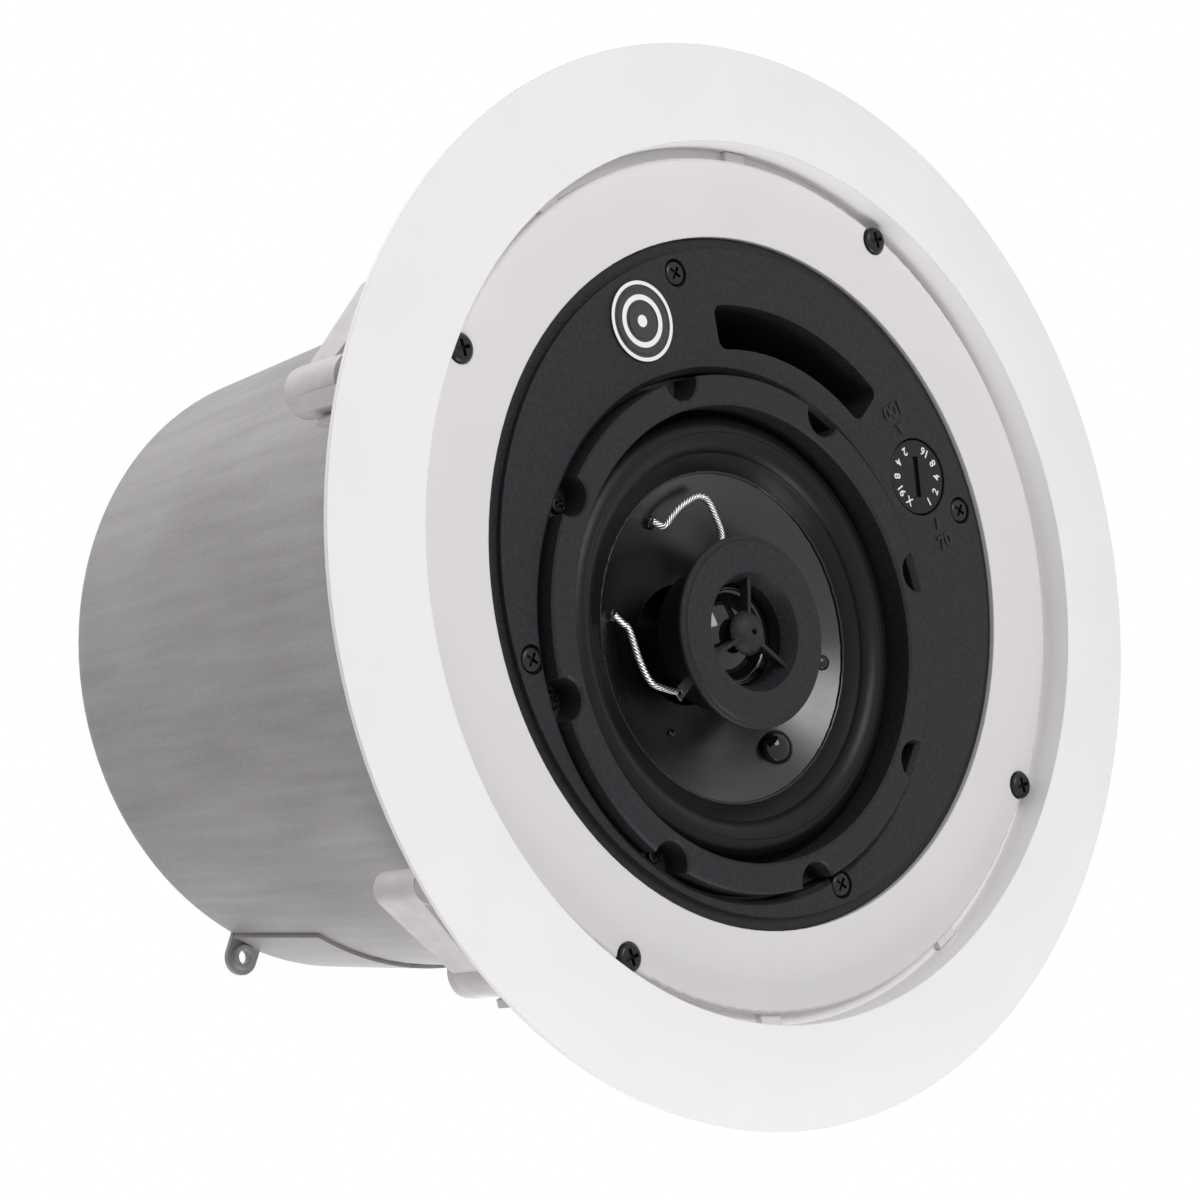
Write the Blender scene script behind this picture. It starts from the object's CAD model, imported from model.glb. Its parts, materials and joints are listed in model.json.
import json
import math

import bmesh
import bpy
from mathutils import Matrix, Vector


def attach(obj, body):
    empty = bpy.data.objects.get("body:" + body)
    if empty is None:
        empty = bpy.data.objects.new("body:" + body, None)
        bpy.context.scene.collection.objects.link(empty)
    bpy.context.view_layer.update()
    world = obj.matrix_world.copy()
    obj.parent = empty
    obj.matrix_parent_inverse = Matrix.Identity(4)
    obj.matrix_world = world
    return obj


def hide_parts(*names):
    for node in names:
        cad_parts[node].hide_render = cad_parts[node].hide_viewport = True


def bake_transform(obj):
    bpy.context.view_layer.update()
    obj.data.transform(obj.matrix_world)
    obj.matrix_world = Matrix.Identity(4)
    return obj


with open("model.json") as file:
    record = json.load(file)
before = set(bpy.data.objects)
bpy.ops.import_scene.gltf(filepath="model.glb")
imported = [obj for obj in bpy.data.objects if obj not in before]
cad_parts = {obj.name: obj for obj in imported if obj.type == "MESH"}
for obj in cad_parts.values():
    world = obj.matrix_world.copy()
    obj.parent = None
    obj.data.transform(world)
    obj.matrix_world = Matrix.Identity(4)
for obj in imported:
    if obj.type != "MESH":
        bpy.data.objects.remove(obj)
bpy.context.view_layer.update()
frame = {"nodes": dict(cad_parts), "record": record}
nodes = frame["nodes"]

# One millimetre in metres. The frame and everything in Blender are in metres.
MM = 0.001

# Places in millimetres, the same as those of the solids.
DRIVER = (-9.1, 9.9)
DIAL = (58.7, -10.6)
DIAL_FACE_Z = 4.7
BAFFLE_FACE_Z = 4.5
BADGE = (-14.0, -61.5)

# Large roll in millimetres: its crest, its outer foot and the band that is glued to the cone.
ROLL_CREST = (45.0, 6.0)
ROLL_T = 0.5
ROLL_EDGE_R = 50.2
ROLL_FOOT_Z = 9.3
ROLL_SEAT_Z = 9.9
ROLL_FOOT_IN_R = 49.2
BAND_OUT = (40.6, 8.9)
BAND_IN = (36.7, 9.95)
BAND_OUT_BACK_Z = 9.265
BAND_IN_BACK_Z = 10.42

# Small roll round the dome, in millimetres.
SMALL_CREST = (10.4, 7.6)
SMALL_T = 0.3
SMALL_HALF_W = 0.6
SMALL_BACK_HALF_W = 0.5
DOME_R = 9.5
DOME_FOOT_Z = 8.3
SMALL_SEAT_R = 13.6

# Glue bead where the large roll meets the cone, in millimetres.
BEAD_ARC = ((36.95, 9.93), (36.45, 9.98), (36.3, 10.5))
BEAD_BACK = (36.6, 10.5)
BEAD_SEGMENTS = 384

# Leads, and the marks on the dial and the baffle, in millimetres.
LEAD_R = 0.75
TAP_RADIUS = 6.7
TAP_SIZE = 2.7
TAP_WEIGHT = 0.06
ARROW_RADIUS = 12.2
ARROW_SIZE = 1.7
MARK_RADIUS = 16.6
MARK_SIZE = 4.6
MARK_WEIGHT = 0.12

# Steps round a turned piece, the floor in metres, and how strongly the white surroundings light the part.
SEGMENTS = 192
FLOOR_REACH = 2.5
FLOOR_DROP = 0.0008
AMBIENT = 0.46


# Shader helpers.

class Shader:
    """A node material with short ways to add the nodes that it needs."""

    def __init__(self, name, color, roughness, metallic=0.0):
        self.material = bpy.data.materials.new(name)
        self.material.use_nodes = True
        self.tree = self.material.node_tree
        self.base = self.tree.nodes["Principled BSDF"]
        self.base.inputs["Base Color"].default_value = (*color, 1.0)
        self.base.inputs["Roughness"].default_value = roughness
        self.base.inputs["Metallic"].default_value = metallic
        self.place = self.add("ShaderNodeTexCoord").outputs["Object"]
        self.height = None

    def add(self, kind, **settings):
        node = self.tree.nodes.new(kind)
        for key, value in settings.items():
            setattr(node, key, value)
        return node

    def link(self, output, target):
        self.tree.links.new(output, target)

    def noise(self, scale, detail=3.0, stretch=(1.0, 1.0, 1.0)):
        """Noise in the row frame, scale in bumps per metre."""
        mapping = self.add("ShaderNodeMapping")
        mapping.inputs["Scale"].default_value = stretch
        texture = self.add("ShaderNodeTexNoise")
        texture.inputs["Scale"].default_value = scale
        texture.inputs["Detail"].default_value = detail
        self.link(self.place, mapping.inputs["Vector"])
        self.link(mapping.outputs["Vector"], texture.inputs["Vector"])
        return texture.outputs["Fac"]

    def math(self, operation, first, second=None):
        node = self.add("ShaderNodeMath", operation=operation)
        for socket, value in zip(node.inputs, (first, second)):
            if value is None:
                continue
            if isinstance(value, (int, float)):
                socket.default_value = value
            else:
                self.link(value, socket)
        return node.outputs[0]

    def ramp(self, source, stops):
        node = self.add("ShaderNodeValToRGB")
        bands = node.color_ramp.elements
        while len(bands) < len(stops):
            bands.new(0.5)
        for band, (position, color) in zip(bands, stops):
            band.position = position
            band.color = (*color, 1.0)
        self.link(source, node.inputs["Fac"])
        return node.outputs["Color"]

    def tint(self, source, low, high):
        """Base colour between two colours by a grey source."""
        self.link(self.ramp(source, ((0.3, low), (0.7, high))), self.base.inputs["Base Color"])

    def vary_roughness(self, source, low, high):
        node = self.add("ShaderNodeMapRange")
        node.inputs["To Min"].default_value = low
        node.inputs["To Max"].default_value = high
        self.link(source, node.inputs["Value"])
        self.link(node.outputs["Result"], self.base.inputs["Roughness"])

    def bump(self, source, strength, distance):
        node = self.add("ShaderNodeBump")
        node.inputs["Strength"].default_value = strength
        node.inputs["Distance"].default_value = distance
        self.link(source, node.inputs["Height"])
        if self.height is not None:
            self.link(self.height, node.inputs["Normal"])
        self.height = node.outputs["Normal"]
        self.link(self.height, self.base.inputs["Normal"])

    def soften(self, radius):
        """Rounds sharp edges a little when shading. Called before any bump."""
        node = self.add("ShaderNodeBevel", samples=4)
        node.inputs["Radius"].default_value = radius
        self.height = node.outputs["Normal"]
        self.link(self.height, self.base.inputs["Normal"])

    def radius_from(self, centre):
        """Distance from an axis along z, in metres."""
        split = self.add("ShaderNodeSeparateXYZ")
        self.link(self.place, split.inputs["Vector"])
        x = self.math("SUBTRACT", split.outputs["X"], centre[0] * MM)
        y = self.math("SUBTRACT", split.outputs["Y"], centre[1] * MM)
        return self.math("SQRT", self.math("ADD", self.math("MULTIPLY", x, x), self.math("MULTIPLY", y, y)))


def white_paint(name, color, roughness):
    """Powder-coated white with a fine grain and faint unevenness."""
    shader = Shader(name, color, roughness)
    shader.base.inputs["Specular IOR Level"].default_value = 0.35
    darker = tuple(c * 0.975 for c in color)
    shader.tint(shader.noise(45.0, 2.0), darker, color)
    shader.soften(0.0004)
    shader.bump(shader.noise(2600.0, 2.0), 0.35, 0.00008)
    return shader.material


def grained_black(name, color, roughness, grain, depth, shine=0.2):
    """Moulded black plastic with a spark-eroded grain."""
    shader = Shader(name, color, roughness)
    shader.base.inputs["Specular IOR Level"].default_value = shine
    lighter = tuple(c * 1.7 + 0.002 for c in color)
    shader.tint(shader.noise(grain * 0.7, 4.0), color, lighter)
    shader.soften(0.0003)
    shader.bump(shader.noise(grain, 3.0), 0.8, depth)
    return shader.material


def plain(name, color, roughness, metallic=0.0, grain=900.0, depth=0.00003, edge=0.0002, shine=0.5):
    """A part with slight unevenness in colour, gloss and surface."""
    shader = Shader(name, color, roughness, metallic)
    shader.base.inputs["Specular IOR Level"].default_value = shine
    shade = shader.noise(grain * 0.2, 3.0)
    shader.tint(shade, tuple(c * 0.85 for c in color), color)
    shader.vary_roughness(shader.noise(grain * 0.5, 2.0), roughness * 0.85, min(1.0, roughness * 1.15))
    shader.soften(edge)
    shader.bump(shader.noise(grain, 2.0), 0.4, depth)
    return shader.material


def galvanised():
    """Dull zinc sheet with a fine brushed grain along the can and faint smudges."""
    shader = Shader("galvanised_sheet", (0.3, 0.284, 0.3), 0.46, 0.3)
    streaks = shader.noise(260.0, 6.0, (1.0, 1.0, 0.06))
    smudges = shader.noise(26.0, 5.0, (1.0, 1.0, 0.7))
    speckle = shader.noise(2200.0, 2.0)
    both = shader.math("ADD", shader.math("MULTIPLY", streaks, 0.3), shader.math("MULTIPLY", smudges, 0.4))
    both = shader.math("ADD", both, shader.math("MULTIPLY", speckle, 0.3))
    stops = ((0.36, (0.21, 0.198, 0.21)), (0.5, (0.28, 0.265, 0.281)), (0.64, (0.34, 0.325, 0.341)))
    shader.link(shader.ramp(both, stops), shader.base.inputs["Base Color"])
    shader.vary_roughness(smudges, 0.42, 0.58)
    shader.soften(0.0004)
    shader.bump(shader.noise(900.0, 3.0, (1.0, 1.0, 0.06)), 0.2, 0.00004)
    return shader.material


def badge_paint():
    """White rings on black, by distance from the middle of the badge."""
    shader = Shader("badge_rings", (0.02, 0.02, 0.02), 0.3)
    radius = shader.math("MULTIPLY", shader.radius_from(BADGE), 100.0)
    black = (0.02, 0.02, 0.022)
    white = (0.85, 0.85, 0.85)
    stops = ((0.0, white), (0.13, white), (0.14, black), (0.46, black), (0.47, white), (0.58, white),
             (0.59, black), (0.8, black), (0.81, white), (0.885, white), (0.89, black))
    shader.link(shader.ramp(radius, stops), shader.base.inputs["Base Color"])
    shader.soften(0.0002)
    shader.bump(shader.noise(1800.0, 2.0), 0.2, 0.00002)
    return shader.material


def braid_metal():
    """Silver braid: two slanted wave patterns along the cord's own length."""
    shader = Shader("silver_braid", (0.8, 0.79, 0.78), 0.28, 0.9)
    uv = shader.add("ShaderNodeTexCoord").outputs["UV"]
    mapping = shader.add("ShaderNodeMapping")
    mapping.inputs["Rotation"].default_value = (0.0, 0.0, math.radians(38))
    wave = shader.add("ShaderNodeTexWave", wave_type="BANDS", bands_direction="X")
    wave.inputs["Scale"].default_value = 0.55
    wave.inputs["Distortion"].default_value = 1.2
    shader.link(uv, mapping.inputs["Vector"])
    shader.link(mapping.outputs["Vector"], wave.inputs["Vector"])
    shader.tint(wave.outputs["Fac"], (0.28, 0.27, 0.26), (0.93, 0.92, 0.9))
    shader.bump(wave.outputs["Fac"], 0.8, 0.0002)
    return shader.material


MATERIALS = {
    "white_bezel": white_paint("bezel_white", (0.86, 0.845, 0.85), 0.6),
    "white_ring": white_paint("ring_white", (0.715, 0.69, 0.7), 0.62),
    "black_texture": grained_black("baffle_black", (0.011, 0.0105, 0.013), 0.5, 1500.0, 0.00012),
    "black_plastic": grained_black("satin_black", (0.006, 0.0057, 0.0068), 0.36, 2600.0, 0.00003),
    "dome_film": plain("dome_film", (0.006, 0.006, 0.007), 0.06, 0.0, 300.0, 0.00001, shine=0.5),
    "cloth": plain("doped_cloth", (0.3, 0.22, 0.12), 0.85, 0.0, 1600.0, 0.00015),
    "badge": badge_paint(),
    "black_screw": plain("black_oxide", (0.018, 0.018, 0.02), 0.32, 0.6, 900.0, 0.00002, 0.00025),
    "black_frame": plain("black_powder_coat", (0.02, 0.02, 0.021), 0.5, 0.1, 1300.0, 0.00008),
    "rubber": plain("butyl_rubber", (0.007, 0.0066, 0.0076), 0.36, 0.0, 800.0, 0.00003, shine=0.16),
    "cone": plain("cone_film", (0.004, 0.0038, 0.0044), 0.28, 0.0, 400.0, 0.00002, shine=0.6),
    "former": plain("former_film", (0.01, 0.0095, 0.01), 0.35, shine=0.15),
    "copper": plain("copper_wire", (0.65, 0.28, 0.12), 0.35, 0.9, 2400.0, 0.0001),
    "black_glue": plain("black_glue", (0.006, 0.006, 0.007), 0.06, 0.0, 200.0, 0.00001, shine=0.35),
    "steel": plain("zinc_steel", (0.55, 0.55, 0.56), 0.38, 0.9),
    "black_steel": plain("blackened_steel", (0.012, 0.012, 0.012), 0.5, 0.0, shine=0.15),
    "ferrite": plain("ferrite", (0.06, 0.06, 0.062), 0.7, 0.0, 500.0, 0.00008),
    "tinned": plain("tinned_tag", (0.72, 0.7, 0.68), 0.3, 0.95, 700.0),
    "braid": braid_metal(),
    "galvanised": galvanised(),
    "zinc_screw": plain("zinc_screw", (0.6, 0.6, 0.58), 0.3, 0.95, 900.0, 0.00002, 0.00025),
    "laminations": plain("laminations", (0.22, 0.22, 0.24), 0.5, 0.7, 1400.0, 0.0001),
    "tape": plain("winding_tape", (0.7, 0.5, 0.12), 0.35, 0.0, 500.0, 0.00005),
    "board": plain("circuit_board", (0.05, 0.2, 0.09), 0.3, 0.0, 700.0, 0.00003),
    "nylon": plain("nylon", (0.8, 0.8, 0.75), 0.5),
    "film": plain("capacitor_film", (0.6, 0.1, 0.06), 0.25, 0.0, 300.0, 0.00004),
    "terminal": plain("terminal_green", (0.05, 0.35, 0.15), 0.4),
    "felt": plain("wadding", (0.5, 0.5, 0.47), 0.95, 0.0, 1100.0, 0.0004),
    "wire": plain("wire_sleeve", (0.45, 0.05, 0.04), 0.4),
    "clamp_plastic": plain("clamp_moulding", (0.64, 0.605, 0.625), 0.5, 0.0, 900.0, 0.00005, 0.0005, 0.3),
}


def dress_nodes():
    """Gives each CAD node its material and smooth shading."""
    slots = {part["node"]: part["material_slot"] for part in frame["record"]["subparts"]}
    for name, node in nodes.items():
        node.data.materials.clear()
        node.data.materials.append(MATERIALS[slots[name]])
        for polygon in node.data.polygons:
            polygon.use_smooth = True


def new_piece(name, mesh, slot, smooth=True):
    """A new object with the material of a record slot."""
    piece = bpy.data.objects.new(name, mesh)
    bpy.context.collection.objects.link(piece)
    mesh.materials.append(MATERIALS[slot])
    for polygon in mesh.polygons:
        polygon.use_smooth = smooth
    return piece


def lathe(name, profile, centre, slot, segments=SEGMENTS, wobble=None):
    """A closed profile of radius and height pairs, in millimetres, turned about z."""
    mesh = bpy.data.meshes.new(name)
    verts = []
    faces = []
    count = len(profile)
    for i in range(segments):
        angle = 2 * math.pi * i / segments
        grow = wobble(angle) if wobble else 0.0
        for radius, height in profile:
            x = centre[0] + (radius + grow) * math.cos(angle)
            y = centre[1] + (radius + grow) * math.sin(angle)
            verts.append((x * MM, y * MM, (height - grow) * MM))
    for i in range(segments):
        after = (i + 1) % segments
        for j in range(count):
            k = (j + 1) % count
            faces.append((i * count + j, after * count + j, after * count + k, i * count + k))
    mesh.from_pydata(verts, [], faces)
    fix_normals(mesh)
    return new_piece(name, mesh, slot)


def fix_normals(mesh):
    shell = bmesh.new()
    shell.from_mesh(mesh)
    bmesh.ops.recalc_face_normals(shell, faces=shell.faces)
    shell.to_mesh(mesh)
    shell.free()


# Surround, split at its crest: the outer half stays on the frame and the inner half bends with the cone.

def arc_through(first, middle, last, steps):
    """Points on the circle through three points, first to last."""
    (ax, ay), (bx, by), (cx, cy) = first, middle, last
    d = 2 * (ax * (by - cy) + bx * (cy - ay) + cx * (ay - by))
    a2, b2, c2 = ax * ax + ay * ay, bx * bx + by * by, cx * cx + cy * cy
    ux = (a2 * (by - cy) + b2 * (cy - ay) + c2 * (ay - by)) / d
    uy = (a2 * (cx - bx) + b2 * (ax - cx) + c2 * (bx - ax)) / d
    start = math.atan2(ay - uy, ax - ux)
    end = math.atan2(cy - uy, cx - ux)
    through = math.atan2(by - uy, bx - ux)
    radius = math.hypot(ax - ux, ay - uy)
    sweep = (end - start) % (2 * math.pi)
    if (through - start) % (2 * math.pi) > sweep:
        sweep -= 2 * math.pi
    return [
        (ux + radius * math.cos(start + sweep * i / steps), uy + radius * math.sin(start + sweep * i / steps))
        for i in range(steps + 1)
    ]


def make_surround():
    """The large roll, split at its crest so that its inner half can bend with the cone."""
    crest_r, crest_z = ROLL_CREST
    crest_back = (crest_r, crest_z + ROLL_T)
    foot_back = (ROLL_FOOT_IN_R - ROLL_T, ROLL_SEAT_Z)
    band_back = (BAND_OUT[0] + ROLL_T, BAND_OUT_BACK_Z)
    front = arc_through((ROLL_FOOT_IN_R, ROLL_FOOT_Z), ROLL_CREST, BAND_OUT, 32)
    back = arc_through(foot_back, crest_back, band_back, 32)
    front_out = [p for p in front if p[0] > crest_r] + [ROLL_CREST]
    back_out = [p for p in back if p[0] > crest_r] + [crest_back]
    outside = [(ROLL_EDGE_R, ROLL_FOOT_Z)] + front_out + back_out[::-1] + [(ROLL_EDGE_R, ROLL_SEAT_Z)]
    outer = lathe("surround_outer", outside, DRIVER, "rubber")
    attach(outer, "frame")
    front_in = [ROLL_CREST] + [p for p in front if p[0] < crest_r]
    back_in = [crest_back] + [p for p in back if p[0] < crest_r]
    inside = front_in + [BAND_IN, (BAND_IN[0], BAND_IN_BACK_Z)] + back_in[::-1]
    inner = lathe("surround_inner", inside, DRIVER, "rubber")
    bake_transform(inner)
    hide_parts("surround")
    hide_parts("surround")


def make_tweeter_surround():
    """The small roll round the dome, split at its crest like the large one."""
    crest_r, crest_z = SMALL_CREST
    crest_back = (crest_r, crest_z + SMALL_T)
    seat_z = DOME_FOOT_Z + SMALL_T
    outside = [SMALL_CREST, (crest_r + SMALL_HALF_W, DOME_FOOT_Z), (SMALL_SEAT_R, DOME_FOOT_Z),
               (SMALL_SEAT_R, seat_z), (crest_r + SMALL_BACK_HALF_W, seat_z), crest_back]
    outer = lathe("tweeter_surround_outer", outside, DRIVER, "dome_film")
    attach(outer, "frame")
    inside = [(DOME_R, DOME_FOOT_Z), (crest_r - SMALL_HALF_W, DOME_FOOT_Z), SMALL_CREST,
              crest_back, (crest_r - SMALL_BACK_HALF_W, seat_z), (DOME_R, seat_z)]
    inner = lathe("tweeter_surround_inner", inside, DRIVER, "dome_film")
    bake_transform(inner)
    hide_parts("tweeter_surround")
    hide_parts("tweeter_surround")


def make_glue_line():
    """The glossy beaded line where the surround meets the cone."""
    def beads(angle):
        return 0.025 * math.sin(angle * 47) + 0.02 * math.sin(angle * 83 + 1.0)
    ring = arc_through(*BEAD_ARC, 6)
    bead = lathe("glue_line", ring + [BEAD_BACK], DRIVER, "black_glue", BEAD_SEGMENTS, beads)
    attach(bead, "woofer_moving")


# Braided leads.

def smooth_path(points, per_span=10):
    """A Catmull-Rom line through the points."""
    padded = [points[0]] + points + [points[-1]]
    path = []
    for i in range(1, len(padded) - 2):
        a, b, c, d = (Vector(p) for p in padded[i - 1:i + 3])
        for step in range(per_span):
            t = step / per_span
            path.append(0.5 * (2 * b + (c - a) * t + (2 * a - 5 * b + 4 * c - d) * t * t
                               + (3 * b - a - 3 * c + d) * t * t * t))
    path.append(Vector(points[-1]))
    return path


def tube_mesh(name, path, radius, sides=14):
    """A round tube along a path in metres, with UVs in millimetres."""
    shell = bmesh.new()
    layer = shell.loops.layers.uv.new("UVMap")
    rings = []
    along = [0.0]
    for first, second in zip(path, path[1:]):
        along.append(along[-1] + (second - first).length)
    up = Vector((0, 0, 1))
    for i, point in enumerate(path):
        ahead = path[min(i + 1, len(path) - 1)] - path[max(i - 1, 0)]
        side = ahead.cross(up).normalized()
        over = side.cross(ahead).normalized()
        ring = []
        for j in range(sides):
            turn = 2 * math.pi * j / sides
            ring.append(shell.verts.new(point + radius * (math.cos(turn) * side + math.sin(turn) * over)))
        rings.append(ring)
    for i in range(len(rings) - 1):
        for j in range(sides):
            k = (j + 1) % sides
            face = shell.faces.new((rings[i][j], rings[i][k], rings[i + 1][k], rings[i + 1][j]))
            for loop, (u, v) in zip(face.loops, ((j, i), (j + 1, i), (j + 1, i + 1), (j, i + 1))):
                loop[layer].uv = (u / sides * 4.0, along[v] / MM)
    shell.faces.new(reversed(rings[0]))
    shell.faces.new(rings[-1])
    bmesh.ops.recalc_face_normals(shell, faces=shell.faces)
    mesh = bpy.data.meshes.new(name)
    shell.to_mesh(mesh)
    shell.free()
    return mesh


def make_lead(name, points, node):
    """A braided lead, fixed at its tag on the frame and moving with the cone at its eyelet."""
    path = smooth_path([tuple(c * MM for c in p) for p in points])
    lead = new_piece(name, tube_mesh(name, path, LEAD_R * MM), "braid")
    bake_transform(lead)
    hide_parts(node)


LEAD_1 = [
    (-18.5, -19.0, 12.9), (-16.7, -17.3, 11.8), (-14.0, -18.8, 11.5), (-10.5, -20.5, 11.0),
    (-6.0, -21.4, 10.5), (-3.6, -19.9, 10.0), (-3.4, -15.5, 9.0), (-4.6, -11.6, 7.6), (-7.5, -8.4, 6.9),
]
LEAD_2 = [
    (-36.8, -2.5, 12.9), (-35.3, -0.2, 12.6), (-34.3, 1.8, 12.2), (-34.1, 8.7, 11.8),
    (-33.0, 13.7, 11.4), (-30.0, 16.0, 11.2), (-26.6, 17.6, 11.2),
]


# Dial numbers and the marks beside the dial.

NUMBER_WHITE = plain("number_white", (0.85, 0.85, 0.85), 0.5)


def flat_text(name, words, size, weight, place, turn, slot, body, thickness):
    """Raised text that reads from below, at a place in millimetres."""
    curve = bpy.data.curves.new(name, "FONT")
    curve.body = words
    curve.size = size * MM
    curve.align_x = "CENTER"
    curve.align_y = "CENTER"
    curve.extrude = thickness * MM
    curve.offset = weight * MM
    text = bpy.data.objects.new(name, curve)
    bpy.context.collection.objects.link(text)
    text.matrix_world = (
        Matrix.Translation(Vector(place) * MM)
        @ Matrix.Rotation(math.radians(turn), 4, "Z")
        @ Matrix.Rotation(math.pi, 4, "X")
    )
    bpy.context.view_layer.update()
    mesh = bpy.data.meshes.new_from_object(text.evaluated_get(bpy.context.evaluated_depsgraph_get()))
    mesh.transform(text.matrix_world)
    bpy.data.objects.remove(text)
    piece = new_piece(name, mesh, slot, smooth=False)
    piece.data.materials.clear()
    piece.data.materials.append(NUMBER_WHITE if slot == "badge" else MATERIALS[slot])
    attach(piece, body)
    return piece


def beside_dial(radius, turn, height):
    """A place round the dial's axis, all in millimetres."""
    return (DIAL[0] + radius * math.cos(turn), DIAL[1] + radius * math.sin(turn), height)


def make_dial_marks():
    taps = [("1", 74), ("2", 44), ("4", 14), ("8", -16), ("16", -46),
            ("2", -106), ("4", -136), ("8", -166), ("16", -196), ("X", -226)]
    for index, (words, angle) in enumerate(taps):
        turn = math.radians(angle)
        place = beside_dial(TAP_RADIUS, turn, DIAL_FACE_Z - 0.02)
        flat_text(
            f"tap_number_{index}", words, TAP_SIZE, TAP_WEIGHT,
            place, angle - 90, "badge", "dial", 0.03,
        )


def triangle(name, centre, angle, size, slot):
    """A small raised arrow that points at the dial."""
    mesh = bpy.data.meshes.new(name)
    corners = []
    for step in (0, 130, 230):
        turn = math.radians(angle + 180 + step)
        reach = size if step == 0 else size * 0.8
        corners.append((centre[0] + reach * math.cos(turn), centre[1] + reach * math.sin(turn)))
    verts = []
    for z in (BAFFLE_FACE_Z - 0.3, BAFFLE_FACE_Z + 0.05):
        verts += [(x * MM, y * MM, z * MM) for x, y in corners]
    mesh.from_pydata(verts, [], [(0, 1, 2), (5, 4, 3), (0, 3, 4, 1), (1, 4, 5, 2), (2, 5, 3, 0)])
    fix_normals(mesh)
    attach(new_piece(name, mesh, slot, smooth=False), "frame")


def make_baffle_marks():
    for index, (words, angle) in enumerate((("70", 78.5), ("100", -98.0))):
        turn = math.radians(angle)
        near = beside_dial(ARROW_RADIUS, turn, BAFFLE_FACE_Z)
        far = beside_dial(MARK_RADIUS, turn, BAFFLE_FACE_Z - 0.1)
        triangle(f"dial_arrow_{index}", near, angle, ARROW_SIZE, "black_glue")
        flat_text(
            f"dial_mark_{index}", words, MARK_SIZE, MARK_WEIGHT,
            far, angle - 90, "black_glue", "frame", 0.18,
        )


# Stage, lamps and camera.

def make_stage():
    """A pale floor under the speaker that only shows from above."""
    mesh = bpy.data.meshes.new("floor")
    corners = [(FLOOR_REACH * x, FLOOR_REACH * y, 0) for x, y in ((-1, -1), (1, -1), (1, 1), (-1, 1))]
    mesh.from_pydata(corners, [], [(0, 1, 2, 3)])
    floor = bpy.data.objects.new("floor", mesh)
    bpy.context.collection.objects.link(floor)
    floor.location.z = -FLOOR_DROP
    shader = Shader("floor_white", (0.93, 0.93, 0.93), 0.9)
    tree = shader.tree
    clear = shader.add("ShaderNodeBsdfTransparent")
    mix = shader.add("ShaderNodeMixShader")
    shader.link(shader.add("ShaderNodeNewGeometry").outputs["Backfacing"], mix.inputs[0])
    shader.link(shader.base.outputs["BSDF"], mix.inputs[1])
    shader.link(clear.outputs["BSDF"], mix.inputs[2])
    shader.link(mix.outputs[0], tree.nodes["Material Output"].inputs["Surface"])
    mesh.materials.append(shader.material)
    floor.visible_shadow = False
    floor.visible_diffuse = False
    floor.visible_glossy = False


def make_world():
    """White to the camera, in reflections and through glass, softer as light."""
    world = bpy.data.worlds.new("studio")
    bpy.context.scene.world = world
    world.use_nodes = True
    tree = world.node_tree
    back = tree.nodes["Background"]
    paths = tree.nodes.new("ShaderNodeLightPath")
    seen = paths.outputs["Is Camera Ray"]
    for kind in ("Is Glossy Ray", "Is Transmission Ray"):
        widest = tree.nodes.new("ShaderNodeMath")
        widest.operation = "MAXIMUM"
        tree.links.new(seen, widest.inputs[0])
        tree.links.new(paths.outputs[kind], widest.inputs[1])
        seen = widest.outputs[0]
    strength = tree.nodes.new("ShaderNodeMapRange")
    strength.inputs["To Min"].default_value = AMBIENT
    strength.inputs["To Max"].default_value = 1.0
    tree.links.new(seen, strength.inputs["Value"])
    tree.links.new(strength.outputs["Result"], back.inputs["Strength"])
    back.inputs["Color"].default_value = (1.0, 1.0, 1.0, 1.0)


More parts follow.
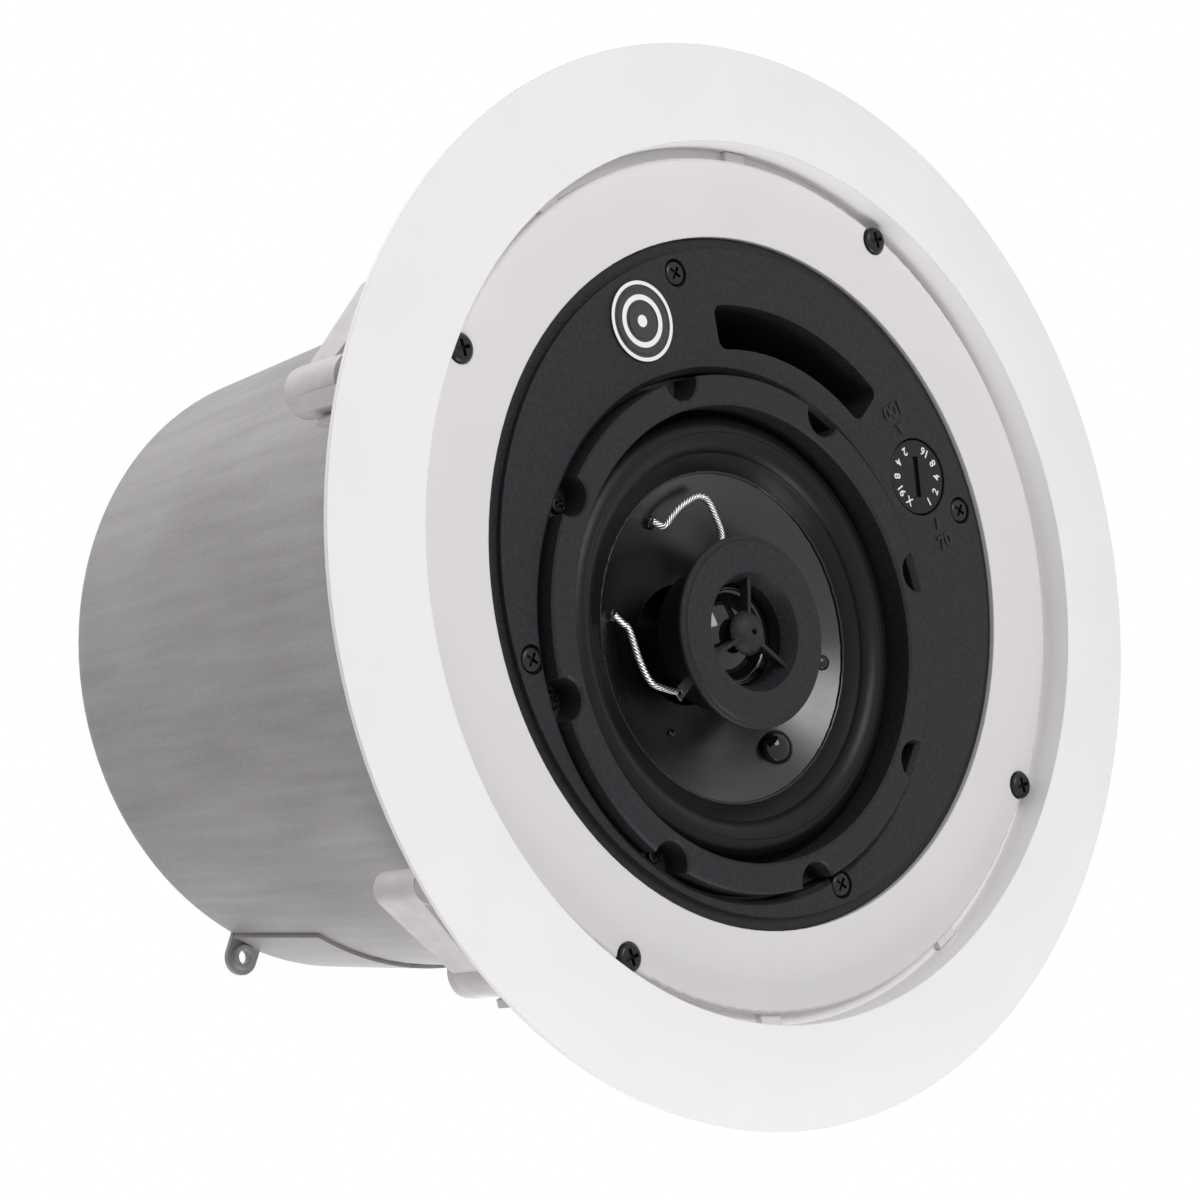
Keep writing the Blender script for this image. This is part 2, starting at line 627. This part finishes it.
# The camera's place and directions, and the point near the part's middle that the lamps aim at, in metres.
CAMERA_PLACE = Vector((-543.162, -54.356, -538.442)) * MM
CAMERA_RIGHT = Vector((0.7004303, 0.2648257, -0.6627705))
CAMERA_UP = Vector((0.2375779, -0.9621677, -0.1333794))
CAMERA_BACK = Vector((-0.6730188, -0.0640366, -0.7368481))
LENS = 105.0
SENSOR_WIDTH = 36.0
MIDDLE = Vector((0, 0, 0.05))


def make_camera():
    data = bpy.data.cameras.new("camera")
    data.lens = LENS
    data.sensor_width = SENSOR_WIDTH
    data.clip_start = 0.01
    camera = bpy.data.objects.new("camera", data)
    bpy.context.collection.objects.link(camera)
    turn = Matrix((CAMERA_RIGHT, CAMERA_UP, CAMERA_BACK)).transposed().to_4x4()
    camera.matrix_world = Matrix.Translation(CAMERA_PLACE) @ turn
    bpy.context.scene.camera = camera


def lamp(name, place, target, size, power):
    """A soft square lamp aimed at a point, both in metres."""
    data = bpy.data.lights.new(name, "AREA")
    data.size = size
    data.energy = power
    light = bpy.data.objects.new(name, data)
    bpy.context.collection.objects.link(light)
    light.location = place
    light.rotation_euler = (Vector(target) - Vector(place)).to_track_quat("-Z", "Y").to_euler()


def from_camera(back, up, right):
    """A place given by distances along the camera's own directions."""
    return MIDDLE + back * CAMERA_BACK + up * CAMERA_UP + right * CAMERA_RIGHT


def make_lamps():
    lamp("key", from_camera(1.0, 0.85, 0.75), MIDDLE, 0.65, 10.4)
    lamp("low", (-0.32, 1.2, -0.25), MIDDLE, 0.7, 9.5)
    lamp("above", (-0.15, -1.25, 0.5), MIDDLE, 0.8, 9.0)
    lamp("behind", (0.6, 1.1, 0.9), MIDDLE, 0.8, 5.0)
    lamp("kicker", from_camera(0.55, 0.35, -0.75), MIDDLE, 0.16, 0.7)


bpy.context.scene.view_settings.view_transform = "Standard"
dress_nodes()
make_surround()
make_tweeter_surround()
make_glue_line()
make_lead("braided_lead_1", LEAD_1, "tinsel_lead_1")
make_lead("braided_lead_2", LEAD_2, "tinsel_lead_2")
make_dial_marks()
make_baffle_marks()
make_stage()
make_world()
make_camera()
make_lamps()
